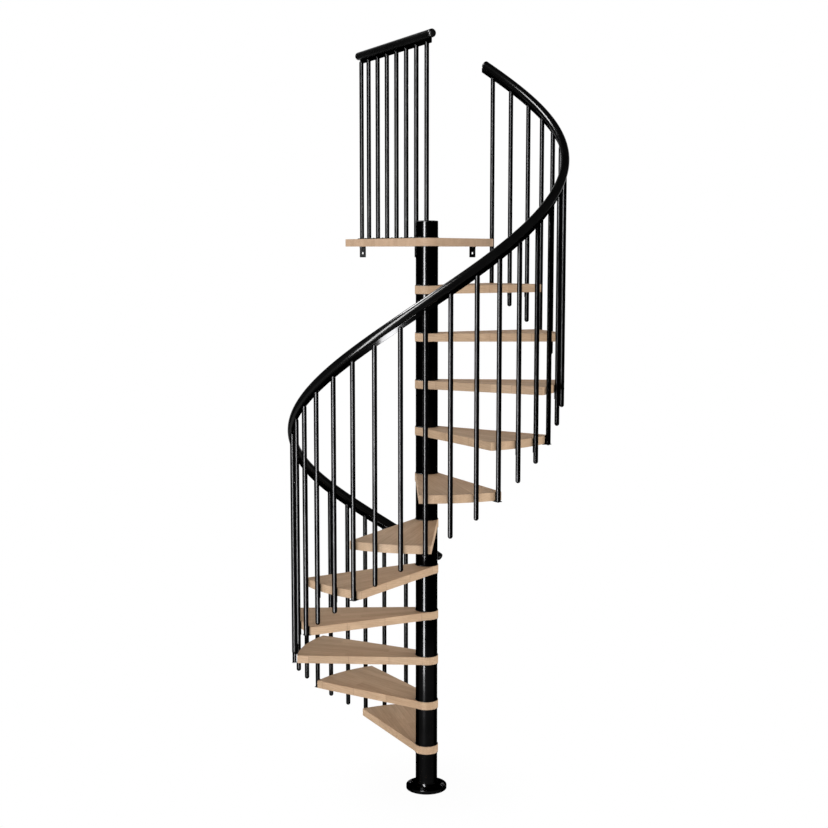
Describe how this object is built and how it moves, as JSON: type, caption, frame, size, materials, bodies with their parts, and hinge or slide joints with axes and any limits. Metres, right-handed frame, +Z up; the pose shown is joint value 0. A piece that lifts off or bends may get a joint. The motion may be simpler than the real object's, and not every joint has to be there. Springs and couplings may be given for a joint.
{
  "type": "spiral staircase",
  "caption": "Spiral staircase kit with wooden wedge treads around a black steel column, round balusters, a helical handrail and a railed landing.",
  "frame": {"origin": "centre of the floor flange's underside, on the column's axis", "axes": "+Z up along the column, +Y towards the landing's straight back edge, +X to the right of someone facing that edge; the stair climbs counter-clockwise seen from above"},
  "size_m": [1.303, 1.4915, 3.5904],
  "materials": {
    "tread_wood": "stave-glued beech, clear satin lacquer",
    "black_steel": "gloss black powder coat",
    "black_plastic": "smooth black plastic",
    "inner_steel": "bare steel tube, hidden"
  },
  "bodies": {
    "root": {"floor_flange": "black_steel", "inner_pole": "inner_steel", "spacer_tubes": "black_steel", "spacer_rings": "black_steel", "column_cap": "black_steel", "tread_01": "tread_wood", "tread_02": "tread_wood", "tread_03": "tread_wood", "tread_04": "tread_wood", "tread_05": "tread_wood", "tread_06": "tread_wood", "tread_07": "tread_wood", "tread_08": "tread_wood", "tread_09": "tread_wood", "tread_10": "tread_wood", "tread_11": "tread_wood", "landing": "tread_wood", "starter_baluster": "black_steel", "starter_foot": "black_steel", "balusters_01": "black_steel", "balusters_02": "black_steel", "balusters_03": "black_steel", "balusters_04": "black_steel", "balusters_05": "black_steel", "balusters_06": "black_steel", "balusters_07": "black_steel", "balusters_08": "black_steel", "balusters_09": "black_steel", "balusters_10": "black_steel", "balusters_11": "black_steel", "main_brackets": "black_steel", "baluster_clips": "black_steel", "handrail": "black_plastic", "handrail_band": "black_steel", "handrail_caps": "black_plastic", "landing_balusters": "black_steel", "landing_foot_bar": "black_steel", "landing_handrail": "black_plastic", "landing_band": "black_steel", "landing_rail_caps": "black_plastic", "wall_brackets": "black_steel"}
  },
  "joints": []
}
